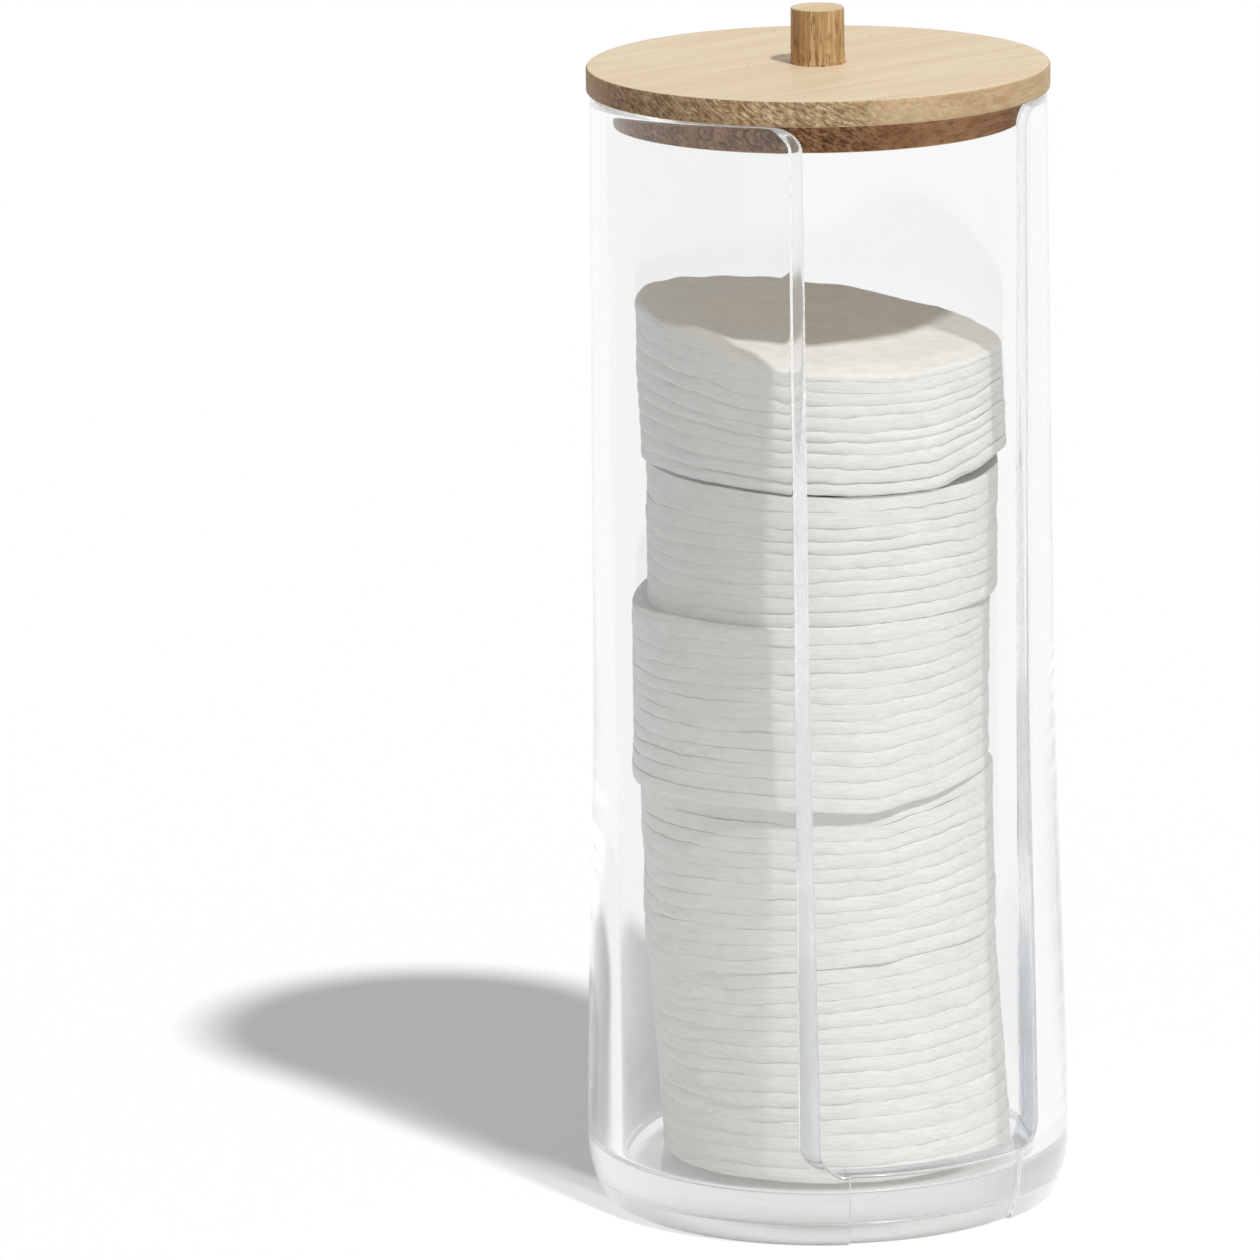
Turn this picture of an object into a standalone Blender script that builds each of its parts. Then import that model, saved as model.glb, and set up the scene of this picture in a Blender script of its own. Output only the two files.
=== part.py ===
"""A clear cotton pad container with a front slot, a bamboo lid and its stack of pads.

Metres, +Z up. The origin is the middle of the foot, and the slot faces -Y.
"""

import math

import bmesh
import bpy
from mathutils import Matrix, Vector

# Container wall
BODY_HEIGHT = 0.1760
BORE_RADIUS = 0.0331
BORE_DRAFT = 0.0002
RIM_WALL = 0.00245
RIM_ROUND = 0.0006
WALL_DRAFT = 0.0013
FLARE = 0.0013
FLARE_START = 0.0900

# Container base
FLOOR_TOP = 0.0078
FLOOR_THICKNESS = 0.0042
FLOOR_FILLET = 0.0012
BASE_CURVE_HEIGHT = 0.0090
BASE_INSET = 0.0024
FOOT_RING = 0.0035
FACE_SETBACK = 0.0008

# Front slot
SLOT_WIDTH = 0.0386
SLOT_CORNER = 0.0040
SLOT_FILLET = 0.0040
LIP_RISE = 0.0039
CUT_OVERRUN = 0.0040
CUT_START_SHARE = 0.5

# Lid
SEAT_GAP = 0.0003
LID_OVERHANG = 0.00045
LID_THICKNESS = 0.0040
LID_EDGE = 0.0004
PLUG_CLEARANCE = 0.0012
PLUG_THICKNESS = 0.0044
PLUG_EDGE = 0.0003

# Knob
KNOB_HEIGHT = 0.0085
KNOB_RADIUS = 0.00425
KNOB_TAPER = 0.00025
KNOB_EDGE = 0.0003
TENON_RADIUS = 0.0024
TENON_LENGTH = 0.0027

# Cotton pads, from the top of the stack to the bottom
PAD_CLEARANCE = 0.0045
PAD_GAP = 0.0003
PAD_CRIMP = 0.0009
HEADROOM = 0.0313
STACK_LEAN_TURN = math.radians(-28.8)
# Each bundle: its pads, its share of the stack's height, its radius as a share of a pad's,
# and how far its top and bottom lean, as shares of the clearance round a pad
BUNDLE_SHARES = (
    (10, 0.166, 1.000, -0.09, 0.07),
    (9, 0.161, 0.962, 0.00, -0.02),
    (12, 0.211, 0.980, -0.42, -0.49),
    (11, 0.187, 0.973, -0.31, -0.22),
    (14, 0.275, 0.963, -0.20, 0.31),
)

# Facets round each turned piece and along each curve
BODY_SEGMENTS = 60
LID_SEGMENTS = 60
KNOB_SEGMENTS = 24
PAD_SEGMENTS = 28
FACE_SEGMENTS = 8
BASE_STEPS = 4
FLARE_STEPS = 5
ARC_STEPS = 4
EDGE_STEPS = 2
WELD_SHARE = 0.01
SHARP_ANGLE = math.radians(30)

# Places worked out from the sizes above
RIM_RADIUS = BORE_RADIUS + RIM_WALL
FLOOR_BOTTOM = FLOOR_TOP - FLOOR_THICKNESS
LIP_TOP = FLOOR_TOP + LIP_RISE
SLOT_HALF = SLOT_WIDTH / 2
DISC_BOTTOM = BODY_HEIGHT + SEAT_GAP
DISC_TOP = DISC_BOTTOM + LID_THICKNESS
DISC_RADIUS = RIM_RADIUS + LID_OVERHANG
PLUG_TOP = DISC_BOTTOM - SEAT_GAP
PLUG_BOTTOM = PLUG_TOP - PLUG_THICKNESS
PLUG_RADIUS = BORE_RADIUS - PLUG_CLEARANCE
STACK_TOP = PLUG_BOTTOM - HEADROOM
STACK_HEIGHT = STACK_TOP - FLOOR_TOP
PAD_RADIUS = BORE_RADIUS - PAD_CLEARANCE


def clear_scene():
    """Removes every object that the file opened with."""
    for thing in list(bpy.data.objects):
        bpy.data.objects.remove(thing, do_unlink=True)


def finish(name, colour, roughness, transmission=0.0, ior=1.5):
    """A Principled material of one colour."""
    material = bpy.data.materials.new(name)
    material.use_nodes = True
    shader = material.node_tree.nodes["Principled BSDF"]
    shader.inputs["Base Color"].default_value = (*colour, 1.0)
    shader.inputs["Roughness"].default_value = roughness
    shader.inputs["Metallic"].default_value = 0.0
    shader.inputs["Transmission Weight"].default_value = transmission
    shader.inputs["IOR"].default_value = ior
    material.diffuse_color = (*colour, 1.0)
    return material


def place(name, mesh, material, parent=None, at=(0.0, 0.0, 0.0)):
    """One named object for one sub-part."""
    thing = bpy.data.objects.new(name, mesh)
    bpy.context.scene.collection.objects.link(thing)
    if not mesh.materials:
        mesh.materials.append(material)
    thing.parent = parent
    thing.location = at
    return thing


def axis_empty(name, height):
    """An empty on the centre line, which carries a group of pieces that moves as one."""
    empty = bpy.data.objects.new(name, None)
    bpy.context.scene.collection.objects.link(empty)
    empty.location = (0.0, 0.0, height)
    return empty


def arc(centre, radius, first, last, steps):
    """Points along an arc in the (radius, height) plane, with angles in degrees."""
    points = []
    for step in range(steps + 1):
        angle = math.radians(first + (last - first) * step / steps)
        points.append((centre[0] + radius * math.cos(angle), centre[1] + radius * math.sin(angle)))
    return points


def shaded(mesh):
    """Smooth shading with the real edges kept sharp."""
    mesh.shade_smooth()
    mesh.set_sharp_from_angle(angle=SHARP_ANGLE)
    return mesh


def turned_mesh(name, outline, segments):
    """A full turn of an outline that starts and ends on the Z axis."""
    shape = bmesh.new()
    verts = [shape.verts.new((radius, 0.0, height)) for radius, height in outline]
    edges = [shape.edges.new(pair) for pair in zip(verts, verts[1:])]
    bmesh.ops.spin(
        shape,
        geom=verts + edges,
        cent=(0.0, 0.0, 0.0),
        axis=(0.0, 0.0, 1.0),
        angle=math.tau,
        steps=segments,
        use_merge=True,
    )
    shortest = min(math.dist(a, b) for a, b in zip(outline, outline[1:]))
    bmesh.ops.remove_doubles(shape, verts=shape.verts, dist=shortest * WELD_SHARE)
    bmesh.ops.recalc_face_normals(shape, faces=shape.faces)
    mesh = bpy.data.meshes.new(name)
    shape.to_mesh(mesh)
    shape.free()
    return shaded(mesh)


def sector_mesh(name, outline, half_angle, segments):
    """A closed outline turned through a sector that is centred on -Y, with both ends closed."""
    shape = bmesh.new()
    start = Matrix.Rotation(-math.pi / 2 - half_angle, 4, "Z")
    verts = [shape.verts.new(start @ Vector((radius, 0.0, height))) for radius, height in outline]
    edges = [shape.edges.new(pair) for pair in zip(verts, verts[1:] + verts[:1])]
    bmesh.ops.spin(
        shape,
        geom=verts + edges,
        cent=(0.0, 0.0, 0.0),
        axis=(0.0, 0.0, 1.0),
        angle=2 * half_angle,
        steps=segments,
    )
    bmesh.ops.holes_fill(shape, edges=[edge for edge in shape.edges if edge.is_boundary], sides=0)
    bmesh.ops.recalc_face_normals(shape, faces=shape.faces)
    mesh = bpy.data.meshes.new(name)
    shape.to_mesh(mesh)
    shape.free()
    return mesh


def extruded_mesh(name, outline, start, depth):
    """A closed outline in the XZ plane at y = start, extruded by depth along -Y."""
    shape = bmesh.new()
    face = shape.faces.new([shape.verts.new((x, start, z)) for x, z in outline])
    pushed = bmesh.ops.extrude_face_region(shape, geom=[face], use_keep_orig=True)
    moved = [part for part in pushed["geom"] if isinstance(part, bmesh.types.BMVert)]
    bmesh.ops.translate(shape, verts=moved, vec=(0.0, -depth, 0.0))
    bmesh.ops.recalc_face_normals(shape, faces=shape.faces)
    mesh = bpy.data.meshes.new(name)
    shape.to_mesh(mesh)
    shape.free()
    return mesh


def subtract(thing, name, mesh):
    """Cuts a hidden cutter from a piece."""
    cutter = bpy.data.objects.new(name, mesh)
    bpy.context.scene.collection.objects.link(cutter)
    cutter.hide_render = True
    cutter.display_type = "WIRE"
    cut = thing.modifiers.new(name, "BOOLEAN")
    cut.operation = "DIFFERENCE"
    cut.solver = "EXACT"
    cut.object = cutter


def wall_radius(height):
    """Outer radius of the wall, with its draft, the flare near the base and the base's curve."""
    drop_share = (BODY_HEIGHT - height) / BODY_HEIGHT
    flare_share = (FLARE_START - height) / (FLARE_START - BASE_CURVE_HEIGHT)
    flare_share = min(1.0, max(0.0, flare_share))
    radius = RIM_RADIUS + WALL_DRAFT * drop_share
    radius += FLARE * flare_share**2 * (3 - 2 * flare_share)
    if height < BASE_CURVE_HEIGHT:
        curve = (BASE_CURVE_HEIGHT**2 + BASE_INSET**2) / (2 * BASE_INSET)
        radius -= curve - math.sqrt(curve**2 - (BASE_CURVE_HEIGHT - max(0.0, height)) ** 2)
    return radius


def base_heights():
    """Heights of the points up the base's curve."""
    return [BASE_CURVE_HEIGHT * step / BASE_STEPS for step in range(BASE_STEPS + 1)]


def outer_wall():
    """The outer outline, from the foot to just under the rim."""
    rise = FLARE_START - BASE_CURVE_HEIGHT
    heights = base_heights()
    heights += [BASE_CURVE_HEIGHT + rise * step / FLARE_STEPS for step in range(1, FLARE_STEPS + 1)]
    return [(wall_radius(height), height) for height in heights]


def rim():
    """The rounded rim, from the outer wall over to the bore."""
    middle = BODY_HEIGHT - RIM_ROUND
    outside = arc((RIM_RADIUS - RIM_ROUND, middle), RIM_ROUND, 0, 90, EDGE_STEPS)
    inside = arc((BORE_RADIUS + RIM_ROUND, middle), RIM_ROUND, 90, 180, EDGE_STEPS)
    return outside + inside


def container_outline():
    """Half of the container's section, from the floor's underside round to the floor."""
    ring_inside = wall_radius(0.0) - FOOT_RING
    floor_radius = BORE_RADIUS - BORE_DRAFT
    outline = [(0.0, FLOOR_BOTTOM), (ring_inside, FLOOR_BOTTOM), (ring_inside, 0.0)]
    outline += outer_wall()
    outline += rim()
    fillet = (floor_radius - FLOOR_FILLET, FLOOR_TOP + FLOOR_FILLET)
    outline += arc(fillet, FLOOR_FILLET, 0, -90, EDGE_STEPS)
    outline.append((0.0, FLOOR_TOP))
    return outline


def slot_outline():
    """The slot seen from the front: rounded at the lip, and flared where it meets the rim."""
    top = BODY_HEIGHT + CUT_OVERRUN
    fillet = (SLOT_HALF - SLOT_FILLET, LIP_TOP + SLOT_FILLET)
    corner = (SLOT_HALF + SLOT_CORNER, BODY_HEIGHT - SLOT_CORNER)
    right = arc(fillet, SLOT_FILLET, -90, 0, ARC_STEPS)
    right += arc(corner, SLOT_CORNER, 180, 90, ARC_STEPS)
    right.append((corner[0], top))
    left = [(-x, z) for x, z in reversed(right)]
    return right + left


def set_back_outline():
    """Section of what is cut away in front of the set-back face under the slot."""
    outside = wall_radius(BASE_CURVE_HEIGHT) + CUT_OVERRUN
    heights = [-CUT_OVERRUN] + base_heights() + [LIP_TOP, LIP_TOP + CUT_OVERRUN]
    face = [(wall_radius(height) - FACE_SETBACK, height) for height in heights]
    return face + [(outside, heights[-1]), (outside, heights[0])]


def build_container(material):
    """The clear moulding: wall, slot, lip, floor and foot in one."""
    mesh = turned_mesh("container", container_outline(), BODY_SEGMENTS)
    container = place("container", mesh, material)
    start = -BORE_RADIUS * CUT_START_SHARE
    depth = wall_radius(BASE_CURVE_HEIGHT) + CUT_OVERRUN + start
    subtract(container, "slot_cutter", extruded_mesh("slot_cutter", slot_outline(), start, depth))
    half_angle = math.asin((SLOT_HALF - SLOT_FILLET) / wall_radius(LIP_TOP))
    face_mesh = sector_mesh("face_cutter", set_back_outline(), half_angle, FACE_SEGMENTS)
    subtract(container, "face_cutter", face_mesh)
    return container


def build_lid_disc(material, carrier):
    """The disc that rests on the rim, with a blind hole for the knob's tenon."""
    hole_radius = TENON_RADIUS + SEAT_GAP
    hole_bottom = LID_THICKNESS - TENON_LENGTH - SEAT_GAP
    outline = [(0.0, 0.0)]
    outline += arc((DISC_RADIUS - LID_EDGE, LID_EDGE), LID_EDGE, -90, 0, EDGE_STEPS)
    outline += arc((DISC_RADIUS - LID_EDGE, LID_THICKNESS - LID_EDGE), LID_EDGE, 0, 90, EDGE_STEPS)
    outline += [(hole_radius, LID_THICKNESS), (hole_radius, hole_bottom), (0.0, hole_bottom)]
    mesh = turned_mesh("lid_disc", outline, LID_SEGMENTS)
    return place("lid_disc", mesh, material, carrier, (0.0, 0.0, DISC_BOTTOM - BODY_HEIGHT))


def build_lid_plug(material, carrier):
    """The disc under the lid that centres it in the mouth."""
    outline = [
        (0.0, 0.0),
        (PLUG_RADIUS - PLUG_EDGE, 0.0),
        (PLUG_RADIUS, PLUG_EDGE),
        (PLUG_RADIUS, PLUG_THICKNESS),
        (0.0, PLUG_THICKNESS),
    ]
    mesh = turned_mesh("lid_plug", outline, LID_SEGMENTS)
    return place("lid_plug", mesh, material, carrier, (0.0, 0.0, PLUG_BOTTOM - BODY_HEIGHT))


def build_lid_knob(material, carrier):
    """The short dowel on the lid, with its tenon."""
    top_radius = KNOB_RADIUS - KNOB_TAPER
    outline = [
        (0.0, -TENON_LENGTH - SEAT_GAP),
        (TENON_RADIUS, -TENON_LENGTH - SEAT_GAP),
        (TENON_RADIUS, 0.0),
        (KNOB_RADIUS, 0.0),
        (top_radius, KNOB_HEIGHT - KNOB_EDGE),
        (top_radius - KNOB_EDGE, KNOB_HEIGHT),
        (0.0, KNOB_HEIGHT),
    ]
    mesh = turned_mesh("lid_knob", outline, KNOB_SEGMENTS)
    rise = DISC_TOP + SEAT_GAP - BODY_HEIGHT
    return place("lid_knob", mesh, material, carrier, (0.0, 0.0, rise))


def pad_mesh(name, radius, thickness):
    """One round pad, with its edge crimped to a thin middle."""
    outline = [
        (0.0, 0.0),
        (radius - PAD_CRIMP, 0.0),
        (radius, thickness / 2),
        (radius - PAD_CRIMP, thickness),
        (0.0, thickness),
    ]
    return turned_mesh(name, outline, PAD_SEGMENTS)


def build_pads(material, carriers):
    """The stack, numbered from the top. The first bundle rides on its own carrier."""
    top = STACK_TOP
    number = 0
    for order, (count, height_share, radius_share, lean_top, lean_bottom) in enumerate(BUNDLE_SHARES):
        pitch = STACK_HEIGHT * height_share / count
        mesh = pad_mesh(f"pads_{order + 1}", PAD_RADIUS * radius_share, pitch - PAD_GAP)
        carrier = carriers[min(order, 1)]
        for place_in_bundle in range(count):
            number += 1
            lean_share = lean_top + (lean_bottom - lean_top) * place_in_bundle / (count - 1)
            lean = PAD_CLEARANCE * lean_share
            bottom = top - pitch * (place_in_bundle + 1) + PAD_GAP
            at = (
                lean * math.cos(STACK_LEAN_TURN),
                lean * math.sin(STACK_LEAN_TURN),
                bottom - carrier.location.z,
            )
            place(f"cotton_pad_{number:02d}", mesh, material, carrier, at)
        top -= pitch * count


def main():
    """Builds every piece in its place."""
    clear_scene()
    build_container(finish("clear_plastic", (0.93, 0.95, 0.95), 0.05, 1.0, 1.53))
    lid_axis = axis_empty("lid_axis", BODY_HEIGHT)
    build_lid_disc(finish("bamboo_disc", (0.76, 0.62, 0.42), 0.55), lid_axis)
    build_lid_plug(finish("bamboo_plug", (0.62, 0.46, 0.28), 0.6), lid_axis)
    build_lid_knob(finish("bamboo_knob", (0.60, 0.40, 0.20), 0.5), lid_axis)
    top_axis = axis_empty("top_pads_axis", STACK_TOP)
    lower_axis = axis_empty("lower_pads_axis", FLOOR_TOP)
    build_pads(finish("cotton", (0.92, 0.91, 0.87), 0.95), (top_axis, lower_axis))


main()
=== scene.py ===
"""A clear cotton pad container with a bamboo lid, made ready for its portrait.

Metres, +Z up. The foot stands on the floor at the origin, and the slot faces -Y. Each sub-assembly
is a class with its sizes as fields, and each finish is a frozen dataclass that builds its material.
"""

import logging
import math
from dataclasses import dataclass
from enum import Enum, IntEnum

import bmesh
import bpy
from mathutils import Matrix, Vector, noise


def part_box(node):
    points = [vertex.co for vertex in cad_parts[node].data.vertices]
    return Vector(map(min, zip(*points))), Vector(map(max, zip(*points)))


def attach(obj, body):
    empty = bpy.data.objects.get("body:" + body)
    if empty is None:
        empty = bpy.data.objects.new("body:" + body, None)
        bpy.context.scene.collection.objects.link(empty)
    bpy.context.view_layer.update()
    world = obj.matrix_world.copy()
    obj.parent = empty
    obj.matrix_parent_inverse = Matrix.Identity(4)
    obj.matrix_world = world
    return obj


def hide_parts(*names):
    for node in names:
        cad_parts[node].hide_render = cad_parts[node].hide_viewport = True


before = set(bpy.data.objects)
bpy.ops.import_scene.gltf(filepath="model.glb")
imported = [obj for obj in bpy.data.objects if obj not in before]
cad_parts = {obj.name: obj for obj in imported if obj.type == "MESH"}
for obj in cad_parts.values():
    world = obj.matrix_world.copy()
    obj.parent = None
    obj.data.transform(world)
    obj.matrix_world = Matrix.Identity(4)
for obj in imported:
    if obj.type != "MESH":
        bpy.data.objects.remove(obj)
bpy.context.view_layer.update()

log = logging.getLogger("container")

Pair = tuple[float, float]
Outline = list[Pair]
Table = tuple[Pair, ...]
Triple = tuple[float, float, float]
Layers = tuple[Triple, ...]
Shape = bmesh.types.BMesh
Socket = bpy.types.NodeSocket
Material = bpy.types.Material


class Body(Enum):
    """The moving groups of the container."""

    CUP = "container"
    LID = "lid"
    TOP_PADS = "top_pads"
    LOWER_PADS = "lower_pads"


class Slot(Enum):
    """The finishes that the record names."""

    PLASTIC = "clear_plastic"
    DISC = "bamboo_disc"
    PLUG = "bamboo_plug"
    KNOB = "bamboo_knob"
    COTTON = "cotton"


class CupFace(IntEnum):
    """The cup's finishes, by the faces' material index."""

    MOULDED = 0
    CUT = 1
    FOOT = 2


def mm(length: float) -> float:
    """Millimetres in metres."""
    return length / 1000


def smooth(share: float) -> float:
    """A share from 0 to 1 with soft ends."""
    share = min(1.0, max(0.0, share))
    return share * share * (3 - 2 * share)


def steps(first: float, last: float, count: int) -> list[float]:
    """Even steps after the first value, up to and with the last.

    Args:
        first: where the run starts, which isn't in the list.
        last: where it ends.
        count: how many values it has.

    Returns:
        The values in order.
    """
    return [first + (last - first) * step / count for step in range(1, count + 1)]


def arc(centre: Pair, radius: float, first: float, last: float, count: int) -> Outline:
    """Points along an arc in the (radius, height) plane.

    Args:
        centre: the arc's centre.
        radius: its radius.
        first: the angle that it starts at, in degrees.
        last: the angle that it ends at, in degrees.
        count: how many steps it has.

    Returns:
        count + 1 points.
    """
    points = []
    for step in range(count + 1):
        angle = math.radians(first + (last - first) * step / count)
        points.append((centre[0] + radius * math.cos(angle), centre[1] + radius * math.sin(angle)))
    return points


def turned(outline: Outline, segments: int) -> Shape:
    """A full turn of an outline that starts and ends on the Z axis.

    Args:
        outline: (radius, height) points.
        segments: facets round the turn.

    Returns:
        The closed shape, with its faces pointing out.
    """
    shape = bmesh.new()
    verts = [shape.verts.new((radius, 0.0, height)) for radius, height in outline]
    edges = [shape.edges.new(pair) for pair in zip(verts, verts[1:])]
    turn = {"cent": (0.0, 0.0, 0.0), "axis": (0.0, 0.0, 1.0), "angle": math.tau}
    bmesh.ops.spin(shape, geom=verts + edges, **turn, steps=segments, use_merge=True)
    bmesh.ops.remove_doubles(shape, verts=shape.verts, dist=mm(0.001))
    bmesh.ops.recalc_face_normals(shape, faces=shape.faces)
    return shape


def pushed(shape: Shape, edges: list, finish: int) -> tuple[list, list]:
    """Doubles a run of edges, with new faces between the old run and the new one.

    Args:
        shape: what the edges belong to.
        edges: the open edges.
        finish: the new faces' material index.

    Returns:
        The new points and the new edges, still in the place of the old ones.
    """
    parts = bmesh.ops.extrude_edge_only(shape, edges=edges)["geom"]
    for face in (part for part in parts if isinstance(part, bmesh.types.BMFace)):
        face.material_index = finish
    verts = [part for part in parts if isinstance(part, bmesh.types.BMVert)]
    return verts, [part for part in parts if isinstance(part, bmesh.types.BMEdge)]


def rounded_by(distance: float, radius: float) -> float:
    """How far a face gives way near a rounded edge.

    Args:
        distance: how far the point is from the edge.
        radius: the radius that the edge is rounded to.

    Returns:
        How far the point moves in.
    """
    if distance >= radius:
        return 0.0
    return radius - math.sqrt(radius**2 - (radius - max(0.0, distance)) ** 2)


def placed(name: str, data: bpy.types.ID) -> bpy.types.Object:
    """Adds an object to the scene, at the origin.

    Args:
        name: the object's name.
        data: its mesh, camera or lamp.

    Returns:
        The object.
    """
    made = bpy.data.objects.new(name, data)
    bpy.context.scene.collection.objects.link(made)
    return made


def mixed(tree: bpy.types.NodeTree, share: Socket, first: Socket, second: Socket) -> Socket:
    """Mixes two shaders.

    Args:
        tree: the node tree that they are in.
        share: how much of the second shows.
        first: a shader.
        second: a shader.

    Returns:
        The mixed shader.
    """
    mix = tree.nodes.new("ShaderNodeMixShader")
    for place, socket in enumerate((share, first, second)):
        tree.links.new(socket, mix.inputs[place])
    return mix.outputs["Shader"]


def piece(
    name: str,
    shape: Shape,
    finishes: tuple[Material, ...],
    body: Body,
    stands_for: str,
    sharp: float = 35.0,
) -> bpy.types.Object:
    """Makes a finished shape a piece of the container.

    Args:
        name: the piece's name.
        shape: its mesh, in place, which is freed here.
        finishes: its finishes, by the faces' material index.
        body: the group that it moves with.
        stands_for: the plain solid that it replaces.
        sharp: the angle in degrees past which an edge stays crisp.

    Returns:
        The new object.
    """
    mesh = bpy.data.meshes.new(name)
    shape.to_mesh(mesh)
    shape.free()
    mesh.shade_smooth()
    mesh.set_sharp_from_angle(angle=math.radians(sharp))
    for finish in finishes:
        mesh.materials.append(finish)
    made = placed(name, mesh)
    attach(made, body.value)
    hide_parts(stands_for)
    log.info("%s: %d faces on %s", name, len(mesh.polygons), body.value)
    return made


class Nodes:
    """A material's node tree, with short ways to add to it."""

    def __init__(self, name: str) -> None:
        """Starts a material with its Principled shader.

        Args:
            name: the material's name.
        """
        self.material = bpy.data.materials.new(name)
        self.material.use_nodes = True
        self.tree = self.material.node_tree
        self.shader = self.tree.nodes["Principled BSDF"]
        self.output = self.tree.nodes["Material Output"]
        self.place = self.add("ShaderNodeTexCoord").outputs["Object"]

    def add(self, kind: str, **inputs: object) -> bpy.types.Node:
        """Adds a node.

        Args:
            kind: the node's type.
            inputs: values or sockets by input name, with _ for a space.

        Returns:
            The node.
        """
        node = self.tree.nodes.new(kind)
        for name, value in inputs.items():
            self.feed(node.inputs[name.replace("_", " ")], value)
        return node

    def feed(self, socket: Socket, value: object) -> None:
        """Links an output to an input, or sets the input's value.

        Args:
            socket: the input.
            value: an output to link, or a plain value.
        """
        if isinstance(value, Socket):
            self.tree.links.new(value, socket)
        else:
            socket.default_value = value

    def rotated(self, place: Socket, rotation: Triple) -> Socket:
        """Coordinates turned about X, Y and Z, in radians."""
        return self.add("ShaderNodeMapping", Vector=place, Rotation=rotation).outputs["Vector"]

    def part(self, vector: Socket, axis: str) -> Socket:
        """One of a vector's three numbers."""
        return self.add("ShaderNodeSeparateXYZ", Vector=vector).outputs[axis]

    def noise(
        self,
        sizes: Triple,
        detail: float = 3.0,
        rough: float = 0.5,
        turn: float = 0.0,
        tilt: float = 0.0,
        bend: float = 0.0,
    ) -> Socket:
        """Soft noise with spots of a given size.

        Args:
            sizes: a spot's length along X, Y and Z, in metres.
            detail: how many finer layers it has.
            rough: how strong they are.
            turn: how far the pattern is turned about Z, in radians.
            tilt: how far it is then tilted about its own X.
            bend: how far the pattern is distorted.

        Returns:
            A value round 0.5.
        """
        place = self.place
        for rotation in ((0.0, 0.0, turn), (tilt, 0.0, 0.0)):
            if any(rotation):
                place = self.rotated(place, rotation)
        scale = tuple(1 / size for size in sizes)
        place = self.add("ShaderNodeMapping", Vector=place, Scale=scale).outputs["Vector"]
        texture = {"Detail": detail, "Roughness": rough, "Distortion": bend}
        return self.add("ShaderNodeTexNoise", Vector=place, Scale=1.0, **texture).outputs["Fac"]

    def span(
        self, value: Socket, low: float, high: float, first: float = 0.0, last: float = 1.0
    ) -> Socket:
        """Spreads a range of values over another, with soft ends.

        Args:
            value: what is read.
            low: the value that gives first.
            high: the value that gives last.
            first: the result at low.
            last: the result at high.

        Returns:
            The new value.
        """
        made = self.tree.nodes.new("ShaderNodeMapRange")
        made.interpolation_type = "SMOOTHSTEP"
        self.feed(made.inputs["Value"], value)
        bounds = {"From Min": low, "From Max": high, "To Min": first, "To Max": last}
        for name, bound in bounds.items():
            made.inputs[name].default_value = bound
        return made.outputs["Result"]

    def math(self, way: str, first: object, second: object = 0.0) -> Socket:
        """One step of arithmetic.

        Args:
            way: what is done, by the Math node's name for it.
            first: a number or a socket.
            second: the same.

        Returns:
            The result.
        """
        made = self.tree.nodes.new("ShaderNodeMath")
        made.operation = way
        self.feed(made.inputs[0], first)
        self.feed(made.inputs[1], second)
        return made.outputs["Value"]

    def times(self, first: object, second: object) -> Socket:
        """The product of two numbers or sockets."""
        return self.math("MULTIPLY", first, second)

    def blend(self, share: object, first: object, second: object, way: str = "MIX") -> Socket:
        """Mixes two colours.

        Args:
            share: how much of the second shows, a number or a socket.
            first: a colour or a socket.
            second: a colour or a socket.
            way: how they mix.

        Returns:
            The mixed colour.
        """
        made = self.tree.nodes.new("ShaderNodeMix")
        made.data_type = "RGBA"
        made.blend_type = way
        self.feed(made.inputs[0], share)
        for socket, colour in ((made.inputs[6], first), (made.inputs[7], second)):
            self.feed(socket, colour if isinstance(colour, Socket) else (*colour, 1.0))
        return made.outputs[2]

    def bump(self, height: Socket, depth: float, strength: float) -> None:
        """Gives the shader fine relief of a depth in metres."""
        made = self.add("ShaderNodeBump", Height=height, Distance=depth, Strength=strength)
        self.tree.links.new(made.outputs["Normal"], self.shader.inputs["Normal"])

    def set(self, **inputs: object) -> None:
        """Sets or feeds the shader's inputs by name, with _ for a space."""
        for name, value in inputs.items():
            self.feed(self.shader.inputs[name.replace("_", " ")], value)


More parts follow.
